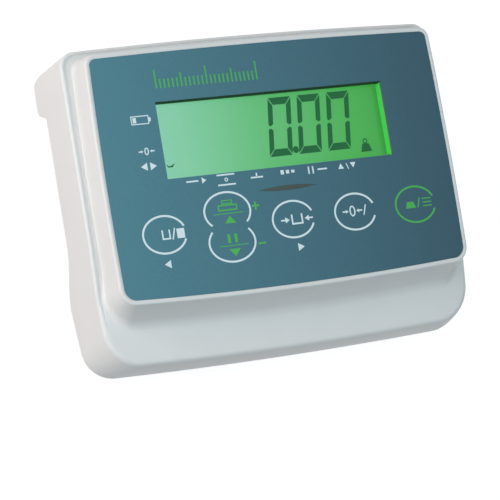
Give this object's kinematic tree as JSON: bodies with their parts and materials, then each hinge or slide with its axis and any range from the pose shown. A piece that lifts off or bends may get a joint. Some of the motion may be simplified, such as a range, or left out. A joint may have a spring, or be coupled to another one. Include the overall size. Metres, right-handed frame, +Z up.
{
  "type": "weighing indicator",
  "caption": "Weighing indicator for an electronic scale: backlit display, membrane keys, power switch, mains inlet and load cell socket.",
  "frame": {"origin": "under the middle of the housing, on the plane of the two rails that it rests on", "axes": "+Z up out of the panel, +Y towards the top edge of the panel, +X to the right of the display"},
  "size_m": [0.213, 0.1634, 0.0525],
  "materials": {
    "case_plastic": "satin",
    "cover_plastic": "matte",
    "overlay_film": "satin",
    "white_film": "matte",
    "circuit_film": "satin",
    "clear_plastic": "gloss",
    "display_green": "gloss",
    "backlight": "gloss",
    "tinted_plastic": "gloss",
    "board_green": "satin",
    "black_plastic": "satin",
    "white_plastic": "satin",
    "cable_grey": "matte",
    "battery_case": "matte",
    "zinc_steel": "satin",
    "plated_brass": "satin",
    "nickel": "gloss",
    "sink_metal": "satin",
    "core_steel": "matte",
    "coil_tape": "satin",
    "capacitor_sleeve": "satin"
  },
  "bodies": {
    "case": {"front_housing": "case_plastic", "rear_cover": "cover_plastic", "overlay": "overlay_film", "spacer_sheet": "white_film", "keypad_sheet": "circuit_film", "snap_domes": "zinc_steel", "lcd_window": "clear_plastic", "lcd_frame": "white_plastic", "lcd_glass": "display_green", "backlight_plate": "backlight", "display_board": "board_green", "display_screws": "zinc_steel", "indicator_lens": "tinted_plastic", "indicator_led": "backlight", "main_board": "board_green", "board_screws": "zinc_steel", "board_chips": "black_plastic", "capacitors": "capacitor_sleeve", "heat_sink": "sink_metal", "buzzer": "black_plastic", "header_sockets": "white_plastic", "ribbon_cable": "cable_grey", "battery": "battery_case", "battery_terminals": "plated_brass", "battery_strap": "zinc_steel", "strap_screws": "zinc_steel", "transformer_core": "core_steel", "transformer_coil": "coil_tape", "transformer_bracket": "zinc_steel", "transformer_screws": "zinc_steel", "switch_body": "black_plastic", "switch_terminals": "plated_brass", "inlet_body": "black_plastic", "inlet_pins": "nickel", "socket_shell": "nickel", "socket_insert": "black_plastic", "socket_pins": "plated_brass", "socket_nut": "nickel", "case_screws": "zinc_steel"},
    "key_net_body": {"key_net": "overlay_film"},
    "key_up_body": {"key_up": "overlay_film"},
    "key_down_body": {"key_down": "overlay_film"},
    "key_tare_body": {"key_tare": "overlay_film"},
    "key_zero_body": {"key_zero": "overlay_film"},
    "key_unit_body": {"key_unit": "overlay_film"},
    "rocker": {"switch_rocker": "black_plastic"},
    "latch": {"latch_tongue": "cover_plastic"}
  },
  "joints": [
    {"name": "key_net_press", "type": "slide", "parent": "case", "child": "key_net_body", "axis": [0, 0, -1], "range_m": [0, 0.0003], "stiffness_N_per_m": 2000, "springref_m": -0.0002},
    {"name": "key_up_press", "type": "slide", "parent": "case", "child": "key_up_body", "axis": [0, 0, -1], "range_m": [0, 0.0003], "stiffness_N_per_m": 2000, "springref_m": -0.0002},
    {"name": "key_down_press", "type": "slide", "parent": "case", "child": "key_down_body", "axis": [0, 0, -1], "range_m": [0, 0.0003], "stiffness_N_per_m": 2000, "springref_m": -0.0002},
    {"name": "key_tare_press", "type": "slide", "parent": "case", "child": "key_tare_body", "axis": [0, 0, -1], "range_m": [0, 0.0003], "stiffness_N_per_m": 2000, "springref_m": -0.0002},
    {"name": "key_zero_press", "type": "slide", "parent": "case", "child": "key_zero_body", "axis": [0, 0, -1], "range_m": [0, 0.0003], "stiffness_N_per_m": 2000, "springref_m": -0.0002},
    {"name": "key_unit_press", "type": "slide", "parent": "case", "child": "key_unit_body", "axis": [0, 0, -1], "range_m": [0, 0.0003], "stiffness_N_per_m": 2000, "springref_m": -0.0002},
    {"name": "power_rocker", "type": "hinge", "parent": "case", "child": "rocker", "pos_m": [-0.0951, 0.0135, 0.0145], "axis": [1, 0, 0], "range_deg": [0, 22]},
    {"name": "latch_flex", "type": "hinge", "parent": "case", "child": "latch", "pos_m": [-0.003, -0.046, 0.0025], "axis": [1, 0, 0], "range_deg": [0, 5], "stiffness_Nm_per_rad": 0.5}
  ]
}
